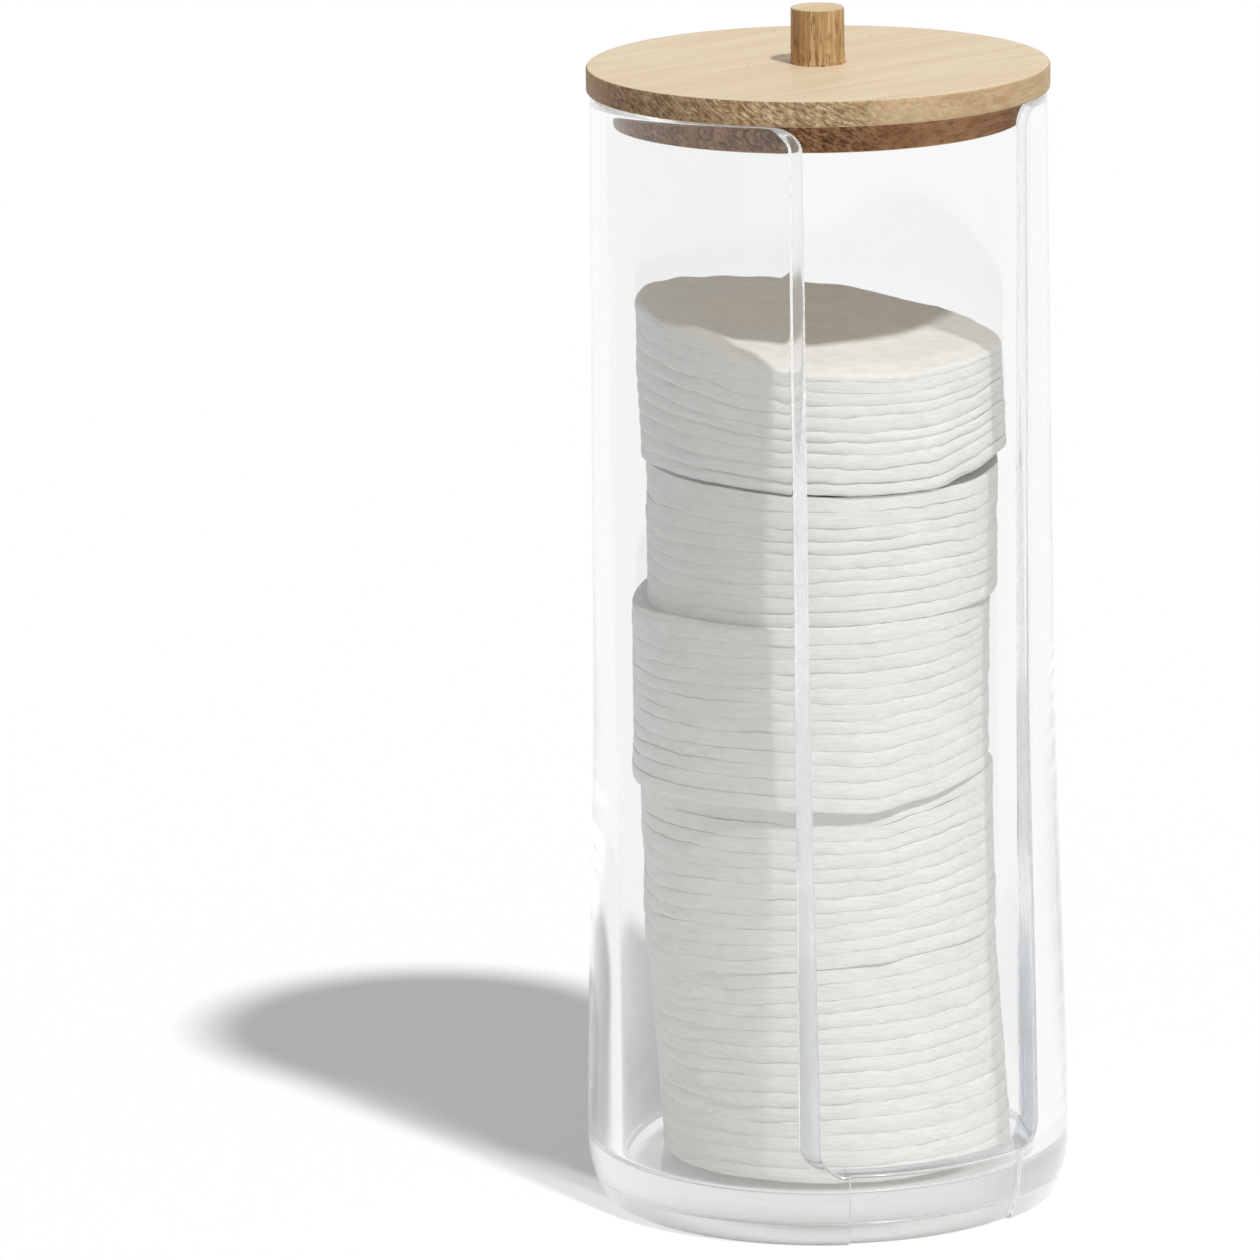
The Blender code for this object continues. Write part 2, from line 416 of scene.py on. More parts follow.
@dataclass(frozen=True)
class ClearPlastic:
    """Clear moulded plastic, which also lets light through to what it holds.

    A set share of the lamp passes each face, more near the foot and on the right, and a set share
    of the soft light, more near the foot.
    """

    name: str = "clear_plastic"
    colour: Triple = (0.940, 0.946, 0.944)
    # Painted shade: darker, bluer colours for the low faces, on the left and on the right.
    painted_shade_low_left: Triple | None = None
    painted_shade_low_right: Triple | None = None
    painted_shade_fade_low: float = mm(43)
    painted_shade_fade_high: float = mm(50)
    lamp_share: float = 0.60
    low_lamp_share: float = 0.78
    right_lamp_share: float = 0.74
    lamp_low: float = mm(50)
    lamp_high: float = mm(112)
    lamp_left: float = mm(-5)
    lamp_right: float = mm(10)
    fill_share: float = 0.93
    low_fill_share: float = 1.0
    clearness: float = 1.0
    roughness: float = 0.02
    ior: float = 1.49

    def build(self) -> Material:
        """Builds the material.

        Returns:
            The material.
        """
        nodes = Nodes(self.name)
        nodes.set(Roughness=self.roughness, Transmission_Weight=self.clearness, IOR=self.ior)
        rise, across = nodes.part(nodes.place, "Z"), nodes.part(nodes.place, "X")
        sides = (across, self.lamp_left, self.lamp_right)
        # Painted shade: low down, the base colour turns darker and bluer, more on the left, for
        # dark surroundings seen through the cut faces.
        if self.painted_shade_low_left and self.painted_shade_low_right:
            low = nodes.blend(nodes.span(*sides), self.painted_shade_low_left, self.painted_shade_low_right)
            painted_shade_fade = nodes.span(rise, self.painted_shade_fade_low, self.painted_shade_fade_high)
            nodes.set(Base_Color=nodes.blend(painted_shade_fade, low, self.colour))
        else:
            nodes.set(Base_Color=(*self.colour, 1.0))
        levels = (rise, self.lamp_low, self.lamp_high)
        low_lamp = nodes.span(*levels, self.low_lamp_share, self.lamp_share)
        right_lamp = nodes.span(*sides, self.lamp_share, self.right_lamp_share)
        let_through = {
            "Is Diffuse Ray": nodes.span(*levels, self.low_fill_share, self.fill_share),
            "Is Shadow Ray": nodes.math("MAXIMUM", low_lamp, right_lamp),
        }
        path = nodes.add("ShaderNodeLightPath")
        seen = nodes.shader.outputs["BSDF"]
        for ray, share in let_through.items():
            tint = nodes.add("ShaderNodeCombineXYZ", X=share, Y=share, Z=share).outputs["Vector"]
            open_way = nodes.add("ShaderNodeBsdfTransparent", Color=tint).outputs["BSDF"]
            seen = mixed(nodes.tree, path.outputs[ray], seen, open_way)
        nodes.feed(nodes.output.inputs["Surface"], seen)
        return nodes.material


@dataclass(frozen=True)
class Bamboo:
    """Bamboo with its fibres lying flat at an angle, or standing in a dowel."""

    name: str
    pale: Triple = (0.745, 0.615, 0.440)
    deep: Triple = (0.640, 0.500, 0.325)
    pore: Triple = (0.20, 0.105, 0.045)
    roughness: float = 0.5
    gloss: float = 0.12
    fibre_turn: float = math.radians(14)
    upright: bool = False
    streaks: float = 1.0
    streak_spot: Pair = (mm(60), mm(5))
    line_length: float = mm(30)
    line_width: float = mm(0.8)
    pores: float = 0.0
    pore_spot: Pair = (mm(3.2), mm(0.34))
    specks: float = 0.0
    speck_spot: Pair = (mm(1.6), mm(0.8))
    end_grain: float = 0.0
    torn_spot: Triple = (mm(2.0), mm(1.3), mm(0.42))
    torn_share: float = 0.60
    torn_depth: float = 6.0
    # Painted highlight: the paler colour on the raised torn fibres.
    painted_crest_highlight: Triple = (0.76, 0.60, 0.39)
    end_inside: float = 0.06
    end_from: float = mm(29)
    end_to: float = mm(32.5)
    end_tilt: float = math.radians(-35)
    # Painted shade: a darker colour multiplied over the side turned from the lamp, as the camera
    # sees it.
    painted_shade: Triple | None = None
    painted_shade_turn: float = math.radians(28.8)
    painted_shade_from: float = mm(-28)
    painted_shade_to: float = mm(14)
    relief: float = mm(0.06)

    def fibre_noise(
        self, nodes: Nodes, length: float, width: float, detail: float, bend: float = 0.0
    ) -> Socket:
        """Noise that is drawn out along the fibres.

        Args:
            nodes: the material's nodes.
            length: a spot's length along the fibres.
            width: its width and depth.
            detail: how many finer layers it has.
            bend: how far it wavers.

        Returns:
            A value round 0.5.
        """
        sizes = (width, width, length) if self.upright else (length, width, width)
        turn = 0.0 if self.upright else -self.fibre_turn
        return nodes.noise(sizes, detail=detail, rough=0.55, turn=turn, bend=bend)

    def torn_ends(self, nodes: Nodes, wood: Socket, height: Socket) -> tuple[Socket, Socket]:
        """Adds the torn fibres that show where the wood is cut across its grain.

        Their pits are darker, partly painted shade, and their crests paler, a painted highlight.

        Args:
            nodes: the material's nodes.
            wood: the colour so far.
            height: the relief so far.

        Returns:
            The new colour and relief.
        """
        turn = -self.fibre_turn
        torn = nodes.noise(
            self.torn_spot, detail=2.5, rough=0.6, turn=turn, tilt=self.end_tilt, bend=0.5
        )
        along = nodes.rotated(nodes.place, (0.0, 0.0, turn))
        reach = nodes.math("ABSOLUTE", nodes.part(along, "X"))
        end = nodes.span(reach, self.end_from, self.end_to, self.end_inside)
        # Where the relief is low, the pits take the dark pore colour: partly the pores' own dark,
        # partly painted shade. Where it is high, the crests take a paler colour, a painted
        # highlight.
        pits = nodes.times(nodes.span(torn, 0.38, 0.52, 1.0, 0.0), end)
        painted_highlights = nodes.times(nodes.span(torn, 0.54, 0.66), end)
        share = self.torn_share * self.end_grain
        wood = nodes.blend(nodes.times(pits, share), wood, self.pore)
        wood = nodes.blend(nodes.times(painted_highlights, share), wood, self.painted_crest_highlight)
        ridges = nodes.times(nodes.times(torn, end), self.torn_depth * self.end_grain)
        return wood, nodes.math("ADD", height, ridges)

    def build(self) -> Material:
        """Builds the material.

        Returns:
            The material.
        """
        nodes = Nodes(self.name)
        broad = self.fibre_noise(nodes, *self.streak_spot, 2.0, 0.6)
        lines = self.fibre_noise(nodes, self.line_length, self.line_width, 4.0, 0.3)
        shade = nodes.math(
            "ADD", nodes.span(broad, 0.32, 0.68, 0.0, 0.5), nodes.span(lines, 0.36, 0.68, 0.0, 0.5)
        )
        wood = nodes.blend(nodes.times(shade, self.streaks), self.pale, self.deep)
        height = nodes.times(lines, 0.6)
        if self.pores:
            flecks = self.fibre_noise(nodes, *self.pore_spot, 2.0)
            holes = nodes.times(nodes.span(flecks, 0.56, 0.70), self.pores)
            wood = nodes.blend(holes, wood, self.pore)
            height = nodes.math("SUBTRACT", height, holes)
        if self.specks:
            spots = self.fibre_noise(nodes, *self.speck_spot, 0.0)
            dots = nodes.times(nodes.span(spots, 0.835, 0.89), self.specks)
            wood = nodes.blend(dots, wood, self.pore)
        if self.end_grain:
            wood, height = self.torn_ends(nodes, wood, height)
        # Painted shade: the wood is multiplied darker towards the camera's left, where the lamp
        # doesn't reach.
        if self.painted_shade:
            across = nodes.rotated(nodes.place, (0.0, 0.0, self.painted_shade_turn))
            share = nodes.span(nodes.part(across, "X"), self.painted_shade_from, self.painted_shade_to, 1.0, 0.0)
            wood = nodes.blend(share, wood, self.painted_shade, "MULTIPLY")
        nodes.set(Base_Color=wood, Roughness=self.roughness, Specular_IOR_Level=self.gloss)
        nodes.bump(height, self.relief, 0.8)
        return nodes.material


@dataclass(frozen=True)
class Cotton:
    """Soft pressed cotton, off-white, with fine fibres in its surface."""

    pale: Triple = (0.769, 0.769, 0.743)
    deep: Triple = (0.687, 0.687, 0.658)
    cloud_spot: Triple = (mm(7), mm(7), mm(2.5))
    fibre_spot: Triple = (mm(3.2), mm(1.5), mm(0.42))
    fluff_spot: Triple = (mm(0.9), mm(0.9), mm(0.5))
    fibre_turn: float = math.radians(28)
    relief: float = mm(0.15)

    def build(self) -> Material:
        """Builds the material.

        Returns:
            The material.
        """
        nodes = Nodes("cotton")
        cloud = nodes.noise(self.cloud_spot)
        turn = self.fibre_turn
        fibres = nodes.noise(self.fibre_spot, detail=4.0, rough=0.62, turn=turn, bend=0.4)
        fluff = nodes.noise(self.fluff_spot, detail=4.0, rough=0.6)
        mottle = nodes.math(
            "ADD", nodes.span(cloud, 0.3, 0.7, 0.0, 0.4), nodes.span(fibres, 0.34, 0.62, 0.6, 0.0)
        )
        wool = nodes.blend(mottle, self.pale, self.deep)
        nodes.set(Base_Color=wool, Roughness=1.0, Specular_IOR_Level=0.05)
        height = nodes.math("ADD", nodes.times(fibres, 0.8), nodes.times(fluff, 0.4))
        nodes.bump(height, self.relief, 0.9)
        return nodes.material


@dataclass
class Cup:
    """The clear cup: a wall with a tall slot, a lip, a floor and a hollow foot."""

    height: float = mm(176.0)
    bore_radius: float = mm(33.1)
    bore_draft: float = mm(0.2)
    rim_wall: float = mm(2.45)
    wall_draft: float = mm(1.3)
    flare: float = mm(1.3)
    flare_start: float = mm(90.0)
    floor_top: float = mm(7.8)
    floor_thickness: float = mm(4.2)
    floor_fillet: float = mm(1.2)
    base_curve: float = mm(9.0)
    base_inset: float = mm(2.4)
    foot_ring: float = mm(3.5)
    set_back: float = mm(0.8)
    slot_half: float = mm(19.3)
    slot_corner: float = mm(4.0)
    lip_rise: float = mm(3.9)
    edge_round_low: float = mm(0.5)
    edge_round_high: float = mm(1.12)
    round_grows_from: float = mm(110)
    round_grows_to: float = mm(150)
    foot_round: float = mm(0.4)
    step_half: float = mm(0.16)
    centre_radius: float = mm(0.6)
    corner_steps: int = 7
    back_steps: int = 132
    front_steps: int = 22
    wall_steps: int = 52
    step_reach: float = 1.5
    step_steps: int = 6
    outer_lip_steps: int = 14
    inner_lip_steps: int = 3
    foot_steps: int = 3
    fillet_steps: int = 6
    near_edge_shares: tuple[float, ...] = (0.0, 0.034, 0.134, 0.293, 0.5, 0.741, 1.0)
    high_edge_shares: tuple[float, ...] = (0.75, 1.0)
    follow_within: float = 1.2
    weld: float = mm(0.002)
    material: Material | None = None
    edge_material: Material | None = None
    foot_material: Material | None = None

    def __post_init__(self) -> None:
        """Works out the places that follow from the sizes."""
        self.lip_top = self.floor_top + self.lip_rise
        self.straight_half = self.slot_half - self.slot_corner
        self.corner_top = self.height - self.slot_corner
        self.corner_bottom = self.lip_top + self.slot_corner
        self.ring_inside = self.wall(0.0) - self.foot_ring

    def wall(self, height: float) -> float:
        """The wall's outer radius.

        Args:
            height: where it is measured.

        Returns:
            The radius.
        """
        radius = self.bore_radius + self.rim_wall
        radius += self.wall_draft * (self.height - height) / self.height
        flare_height = self.flare_start - self.base_curve
        radius += self.flare * smooth((self.flare_start - height) / flare_height)
        if height < self.base_curve:
            curve = (self.base_curve**2 + self.base_inset**2) / (2 * self.base_inset)
            radius -= curve - math.sqrt(curve**2 - (self.base_curve - height) ** 2)
        return radius

    def bore(self, height: float) -> float:
        """The wall's inner radius at a height."""
        depth_share = (self.height - height) / (self.height - self.floor_top)
        return self.bore_radius - self.bore_draft * depth_share

    def followed(self, x: float, z: float) -> Pair:
        """Moves a point of the grid so that its lines follow the slot's round corners.

        Args:
            x: how far the point is from the slot's middle.
            z: its height.

        Returns:
            The moved x and z.
        """
        reach = self.slot_corner
        if z < (self.corner_bottom + self.corner_top) / 2:
            near = (min(max(x, self.straight_half), self.slot_half), self.lip_top)
            if x >= self.slot_half:
                near = (self.slot_half, min(max(z, self.lip_top), self.corner_bottom))
            share = (near[1] - self.lip_top - self.slot_half + near[0]) / reach
            angle = math.radians(-45 + 45 * share)
            centre = (self.straight_half, self.corner_bottom)
        else:
            down = min(max(self.height - z, 0.0), reach)
            out = min(max(x - self.slot_half, 0.0), reach)
            near = (self.slot_half, self.height - down)
            share = -down / reach
            if self.height - z < x - self.slot_half:
                near = (self.slot_half + out, self.height)
                share = out / reach
            angle = math.radians(135 - 45 * share)
            centre = (self.slot_half + reach, self.corner_top)
        away = math.dist(near, (x, z)) / reach
        if away >= 1:
            return x, z
        fade = (1 - away) ** 2
        on_arc = (centre[0] + reach * math.cos(angle), centre[1] + reach * math.sin(angle))
        return x + (on_arc[0] - near[0]) * fade, z + (on_arc[1] - near[1]) * fade

    def edge_distance(self, x: float, z: float) -> float:
        """How far a point of the wall is from the rim or the slot's edge.

        Args:
            x: how far the point is from the slot's middle.
            z: its height.

        Returns:
            The distance.
        """
        if z > self.corner_top and x < self.slot_half + self.slot_corner:
            centre = (self.slot_half + self.slot_corner, self.corner_top)
            return self.slot_corner - math.dist(centre, (x, z))
        if z < self.corner_bottom and x > self.straight_half:
            return math.dist((self.straight_half, self.corner_bottom), (x, z)) - self.slot_corner
        if z < self.corner_bottom:
            return self.lip_top - z
        return min(self.height - z, x - self.slot_half)

    def edge_round(self, height: float) -> float:
        """The radius that the rim and the slot's edges are rounded to at a height."""
        grows_over = self.round_grows_to - self.round_grows_from
        share = smooth((height - self.round_grows_from) / grows_over)
        return self.edge_round_low + (self.edge_round_high - self.edge_round_low) * share

    def spot(self, share: float, height: float, inner: bool) -> Vector:
        """A point of the wall's outer or inner skin.

        Args:
            share: the place along the wall: 0 in the slot's middle, 1 at its edge, 2 at the back.
            height: the height before the grid follows the slot's corners.
            inner: whether the skin is the bore.

        Returns:
            The point.
        """
        radius_of = self.bore if inner else self.wall
        guide = radius_of(max(height, self.lip_top))
        side, share = math.copysign(1.0, share), abs(share)
        edge = math.asin(self.slot_half / guide)
        angle = edge + (math.pi - edge) * (share - 1)
        if share <= 1:
            angle = math.asin(self.slot_half * share / guide)
        give = rounded_by(self.height - height, self.edge_round(height))
        if angle < self.follow_within:
            x, height = self.followed(guide * math.sin(angle), height)
            guide = radius_of(max(height, self.lip_top))
            angle = math.asin(min(1.0, x / guide))
            give = rounded_by(self.edge_distance(x, height), self.edge_round(height))
        radius = radius_of(height)
        if inner:
            radius += give
        else:
            radius -= give + rounded_by(height, self.foot_round)
            step = (self.straight_half - self.slot_half * share) / self.step_half
            radius -= self.set_back * smooth(0.5 + step / 2) * (height <= self.lip_top)
        return Vector((side * radius * math.sin(angle), -radius * math.cos(angle), height))

    def columns(self) -> list[float]:
        """The grid's places along the wall.

        Returns:
            The places in order, from the back on the left to the back on the right.
        """
        rim = self.bore_radius + self.rim_wall
        edge = math.asin(self.slot_half / rim)

        def share_at(x: float) -> float:
            """The share of a place beside the slot."""
            return 1 + (math.asin(x / rim) - edge) / (math.pi - edge)

        step = self.straight_half / self.slot_half
        reach = self.step_reach * (self.step_half / self.slot_half)
        half = [0.0] + steps(0.0, step - reach, self.front_steps)
        half += steps(half[-1], step + reach, self.step_steps)
        half += steps(half[-1], 1.0, self.corner_steps)
        beside = [self.edge_round_low * share for share in self.near_edge_shares[1:]]
        beside += [self.edge_round_high * share for share in self.high_edge_shares]
        half += [share_at(self.slot_half + away) for away in beside]
        half += steps(half[-1], share_at(self.slot_half + self.slot_corner), self.corner_steps)
        half += steps(half[-1], 2.0, self.back_steps)
        return [-share for share in reversed(half[1:])] + half

    def rows(self, first: float, low_steps: int, foot: bool) -> list[float]:
        """The grid's heights, from the bottom of a skin to the rim.

        Args:
            first: the lowest height.
            low_steps: rows from there to the lip.
            foot: whether the lowest edge is rounded.

        Returns:
            The heights in order.
        """
        near = [self.edge_round_low * share for share in self.near_edge_shares]
        near_rim = [self.edge_round_high * share for share in self.near_edge_shares]
        heights = [first]
        if foot:
            heights = [self.foot_round * share for share in self.near_edge_shares]
        heights += steps(heights[-1], self.lip_top - near[-1], low_steps)
        heights += [self.lip_top - away for away in reversed(near[:-1])]
        heights += steps(self.lip_top, self.corner_bottom, self.corner_steps)
        heights += steps(self.corner_bottom, self.corner_top, self.wall_steps)
        heights += steps(self.corner_top, self.height - near_rim[-1], self.corner_steps)
        heights += [self.height - away for away in reversed(near_rim[:-1])]
        return heights

    def skin(self, shape: Shape, heights: list[float], inner: bool) -> tuple[dict, list, list]:
        """Lays one skin of the wall, with the slot left open.

        Args:
            shape: what it is added to.
            heights: the grid's rows.
            inner: whether it is the bore.

        Returns:
            Each point's place in the grid, the edges of the rim and slot, and the lowest edges.
        """
        columns = self.columns()
        across, up = len(columns) - 1, len(heights) - 1
        made = bmesh.ops.create_grid(shape, x_segments=across, y_segments=up, size=0.5)
        places = {}
        for vert in made["verts"]:
            column = round((vert.co.x + 0.5) * across)
            row = round((vert.co.y + 0.5) * up)
            places[vert] = (columns[column], heights[row])
        faces = {face for vert in places for face in vert.link_faces}
        in_slot = [
            face
            for face in faces
            if all(abs(places[v][0]) <= 1 and places[v][1] >= self.lip_top for v in face.verts)
        ]
        for vert, (share, height) in places.items():
            vert.co = self.spot(share, height, inner)
        bmesh.ops.delete(shape, geom=in_slot, context="FACES")
        places = {vert: place for vert, place in places.items() if vert.is_valid}
        bmesh.ops.remove_doubles(shape, verts=list(places), dist=self.weld)
        places = {vert: place for vert, place in places.items() if vert.is_valid}
        open_edges = {edge for vert in places for edge in vert.link_edges if edge.is_boundary}
        low = [edge for edge in open_edges if all(places[v][1] == heights[0] for v in edge.verts)]
        high = list(open_edges.difference(low))
        return places, high, low

    def join_skins(self, shape: Shape, places: dict, edges: list) -> None:
        """Closes the wall along the rim and round the slot.

        Args:
            shape: the two skins.
            places: each outer point's place in the grid.
            edges: the outer skin's open edges.
        """
        for vert in pushed(shape, edges, CupFace.CUT)[0]:
            others = (edge.other_vert(vert) for edge in vert.link_edges)
            source = next(other for other in others if other in places)
            vert.co = self.spot(*places[source], True)
        bmesh.ops.remove_doubles(shape, verts=shape.verts, dist=self.weld)

    def draw_in(self, shape: Shape, edges: list, rings: Outline, finish: int) -> None:
        """Carries a ring of edges inwards along an outline and closes it at the centre.

        Args:
            shape: what it is added to.
            edges: the open ring.
            rings: (radius, height) of each further ring.
            finish: the new faces' material index.
        """
        for radius, height in rings:
            verts, edges = pushed(shape, edges, finish)
            for vert in verts:
                flat = Vector((vert.co.x, vert.co.y)).normalized() * radius
                vert.co = Vector((flat.x, flat.y, height))
        for face in bmesh.ops.holes_fill(shape, edges=edges, sides=0)["faces"]:
            face.material_index = finish

    def build(self) -> None:
        """Builds the cup."""
        shape = bmesh.new()
        outer_rows = self.rows(0.0, self.outer_lip_steps, True)
        places, high, outer_low = self.skin(shape, outer_rows, False)
        inner_rows = self.rows(self.floor_top + self.floor_fillet, self.inner_lip_steps, False)
        _, _, inner_low = self.skin(shape, inner_rows, True)
        under = self.floor_top - self.floor_thickness
        soft = self.foot_round
        foot = arc((self.ring_inside + soft, soft), soft, -90, -180, self.foot_steps)
        foot += arc((self.ring_inside - soft, under - soft), soft, 0, 90, self.foot_steps)
        foot += [(self.ring_inside / 2, under), (self.centre_radius, under)]
        self.draw_in(shape, outer_low, foot, CupFace.FOOT)
        fillet = (self.bore(self.floor_top) - self.floor_fillet, self.floor_top + self.floor_fillet)
        floor = arc(fillet, self.floor_fillet, 0, -90, self.fillet_steps)[1:]
        floor += [(self.ring_inside / 2, self.floor_top), (self.centre_radius, self.floor_top)]
        self.draw_in(shape, inner_low, floor, CupFace.MOULDED)
        self.join_skins(shape, places, high)
        bmesh.ops.recalc_face_normals(shape, faces=shape.faces)
        finishes = (self.material, self.edge_material, self.foot_material)
        piece("clear_cup", shape, finishes, Body.CUP, "container")


@dataclass
class Lid:
    """The bamboo lid: a disc, the plug under it and the dowel knob."""

    disc_edge: float = mm(0.45)
    plug_edge: float = mm(0.4)
    knob_edge: float = mm(0.3)
    tenon_radius: float = mm(2.4)
    hole_clearance: float = mm(0.3)
    knob_taper: float = mm(0.05)
    side_slope: float = 0.8
    segments: int = 288
    disc_edge_steps: int = 5
    edge_steps: int = 4
    face_steps: int = 12
    knob_segments: int = 160
    knob_steps: int = 56
    rough_reach: float = 1.5
    rough_below: float = mm(0.1)
    grain_spots: Pair = (9.0, 90.0)
    grain_depth: float = mm(0.05)
    pit_spots: Pair = (13.0, 1400.0)
    pit_depth: float = mm(0.11)
    top_pits: float = 0.3
    ragged_rise: float = mm(0.9)
    ragged_depth: float = mm(0.16)
    side_inset: float = mm(0.07)
    face_finish: Material | None = None
    side_finish: Material | None = None
    plug_finish: Material | None = None
    knob_finish: Material | None = None
    knob_top_finish: Material | None = None

    def disc(self) -> None:
        """The disc that rests on the rim, with its blind hole."""
        low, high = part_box("lid_disc")
        knob_low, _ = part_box("lid_knob")
        radius, edge = high.x, self.disc_edge
        outline = [(0.0, low.z), (radius / 2, low.z)]
        outline += arc((radius - edge, low.z + edge), edge, -90, 0, self.disc_edge_steps)
        outline += arc((radius - edge, high.z - edge), edge, 0, 90, self.disc_edge_steps)
        hole = self.tenon_radius + self.hole_clearance
        outline += [(step, high.z) for step in steps(radius - edge, hole, self.face_steps)]
        hole_floor = knob_low.z - self.hole_clearance
        outline += [(hole, hole_floor), (0.0, hole_floor)]
        shape = turned(outline, self.segments)
        self.mark_side(shape)
        finishes = (self.face_finish, self.side_finish)
        piece("bamboo_disc", shape, finishes, Body.LID, "lid_disc")

    def plug(self) -> None:
        """The plug that centres the lid in the mouth."""
        low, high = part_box("lid_plug")
        radius, edge = high.x, self.plug_edge
        outline = [(0.0, low.z), (radius / 2, low.z)]
        outline += arc((radius - edge, low.z + edge), edge, -90, 0, self.edge_steps)
        outline += [(radius, high.z), (0.0, high.z)]
        shape = turned(outline, self.segments)
        self.mark_side(shape)
        finishes = (self.face_finish, self.plug_finish)
        piece("bamboo_plug", shape, finishes, Body.LID, "lid_plug")

    def mark_side(self, shape: Shape) -> None:
        """Gives a disc's side its second finish, where the wood is cut across its grain.

        Args:
            shape: the disc.
        """
        shape.normal_update()
        for face in shape.faces:
            face.material_index = int(abs(face.normal.z) < self.side_slope)

    def knob(self) -> None:
        """The dowel knob, a little ragged at its foot, with its tenon."""
        low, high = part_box("lid_knob")
        _, disc_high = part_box("lid_disc")
        foot, radius, edge = disc_high.z, high.x, self.knob_edge
        top_radius = radius - self.knob_taper
        tenon = self.tenon_radius
        outline = [(0.0, low.z), (tenon, low.z), (tenon, foot), (radius, foot)]
        rise = high.z - edge - foot
        for step in steps(0.0, 1.0, self.knob_steps):
            outline.append((radius + (top_radius - radius) * step, foot + rise * step))
        outline += arc((top_radius - edge, high.z - edge), edge, 0, 90, self.edge_steps)[1:]
        outline += [(top_radius / 2, high.z), (0.0, high.z)]
        shape = turned(outline, self.knob_segments)
        for face in shape.faces:
            face.material_index = int(face.calc_center_median().z > high.z - edge / 2)
        for vert in shape.verts:
            out = math.hypot(vert.co.x, vert.co.y)
            if out > top_radius - edge * self.rough_reach and vert.co.z > foot - self.rough_below:
                self.roughen(vert, out, foot, high.z)
        finishes = (self.knob_finish, self.knob_top_finish)
        piece("bamboo_knob", shape, finishes, Body.LID, "lid_knob")

    def roughen(self, vert: bmesh.types.BMVert, out: float, foot: float, top: float) -> None:
        """Gives one point of the knob's side its grain and its ragged foot.

        Args:
            vert: the point.
            out: its distance from the axis.
            foot: the height of the knob's foot.
            top: the height of its top.
        """
        across, along = vert.co.x / out, vert.co.y / out

        def spots(around: float, up: float) -> float:
            """Noise with a number of spots round the side and to each metre of its height."""
            return noise.noise(Vector((across * around, along * around, vert.co.z * up)))

        grain, pits = spots(*self.grain_spots), spots(*self.pit_spots)
        low_share = smooth((top - vert.co.z) / (top - foot)) ** 2
        ragged = smooth(1 - (vert.co.z - foot) / self.ragged_rise)
        give = self.grain_depth * grain + self.pit_depth * pits * (self.top_pits + low_share)
        give += self.ragged_depth * pits * ragged
        give -= self.side_inset * (1 - ragged)
        vert.co.x *= 1 + give / out
        vert.co.y *= 1 + give / out

    def build(self) -> None:
        """Builds the lid's three pieces."""
        self.disc()
        self.plug()
        self.knob()


FLAT: Table = ((-1, 0.0), (1, 0.0))


@dataclass(frozen=True)
class Sheet:
    """How far a boundary between bundles lies above its even height, in millimetres.

    Each table has (place, lift) pairs, where the place runs from -1 at the left end of the pads to
    1 at the right end, as seen from the front.
    """

    front: Table
    back: Table = FLAT
    proud: float = 0.0
    mix_rate: float = 0.7

    def between(self, table: Table, across: float) -> float:
        """Reads a table softly.

        Args:
            table: its (place, lift) pairs.
            across: the place.

        Returns:
            The lift in millimetres.
        """
        for (near, first), (far, last) in zip(table, table[1:]):
            if across <= far:
                return first + (last - first) * smooth((across - near) / (far - near))
        return table[-1][1]

    def lift(self, across: float, ahead: float) -> float:
        """The lift of a point of the sheet.

        Args:
            across: its place from left to right, from -1 to 1.
            ahead: its place from back to front, from -1 to 1.

        Returns:
            The lift in metres.
        """
        share = smooth(0.5 + ahead * self.mix_rate)
        front, back = self.between(self.front, across), self.between(self.back, across)
        return mm(front * share + back * (1 - share))


@dataclass(frozen=True)
class Bundle:
    """Pads that lie together, counted from the top of the stack."""

    first: int
    last: int
    top: Sheet
    bottom: Sheet
    body: Body = Body.LOWER_PADS
    bow: float = mm(0.06)
    bow_from: float = 0.86
    creases: float = 1.0
    shoulder: float = 0.5


LOW_BOUNDARY: Table = ((-1, -4.4), (-0.6, -3.5), (-0.1, -2.3), (0.3, -1.6), (0.7, -0.8), (1, -1.0))
BUNDLES = (
    Bundle(
        1, 10,
        Sheet(
            ((-1, 5.0), (-0.7, 2.4), (-0.4, -0.6), (0, -2.6), (0.5, -3.2), (1, -2.9)),
            ((-1, 5.0), (-0.85, 4.2), (-0.6, 2.9), (-0.35, 1.9), (0, 0.6), (0.6, -1.7), (1, -2.9)),
        ),
        Sheet(
            ((-1, 0.9), (-0.6, 0.3), (-0.1, -0.75), (0.2, -1.15), (0.6, -1.15), (0.8, 0.2))
            + ((1, 2.1),),
            proud=-0.7,
        ),
        Body.TOP_PADS,
        bow=mm(0.9), bow_from=0.84, creases=1.5, shoulder=3.4,
    ),
    Bundle(
        11, 19,
        Sheet(
            ((-1, 0.65), (-0.6, -0.1), (-0.1, -1.1), (0.2, -1.24), (0.6, -1.24), (1, -1.9)),
            ((-1, -0.2), (1, -0.2)),
            proud=0.5,
        ),
        Sheet(((-1, -1.5), (-0.6, -0.6), (0, -0.4), (1, 0)), proud=-0.4),
    ),
    Bundle(
        20, 31,
        Sheet(((-1, -1.5), (-0.6, -0.6), (0, -0.4), (1, -0.05)), proud=0.3),
        Sheet(
            ((-1, -0.6), (-0.3, -0.8), (0, -1.5), (0.35, -2.1), (0.6, -1.0), (0.85, 0.2), (1, 0.3)),
            proud=0.9,
        ),
    ),
    Bundle(
        32, 42,
        Sheet(
            ((-1, -0.8), (-0.3, -1.0), (0, -1.7), (0.35, -2.3), (0.6, -1.15), (0.85, 0.1))
            + ((1, 0.2),),
            proud=-0.6,
        ),
        Sheet(LOW_BOUNDARY),
    ),
    Bundle(43, 56, Sheet(LOW_BOUNDARY), Sheet(FLAT)),
)


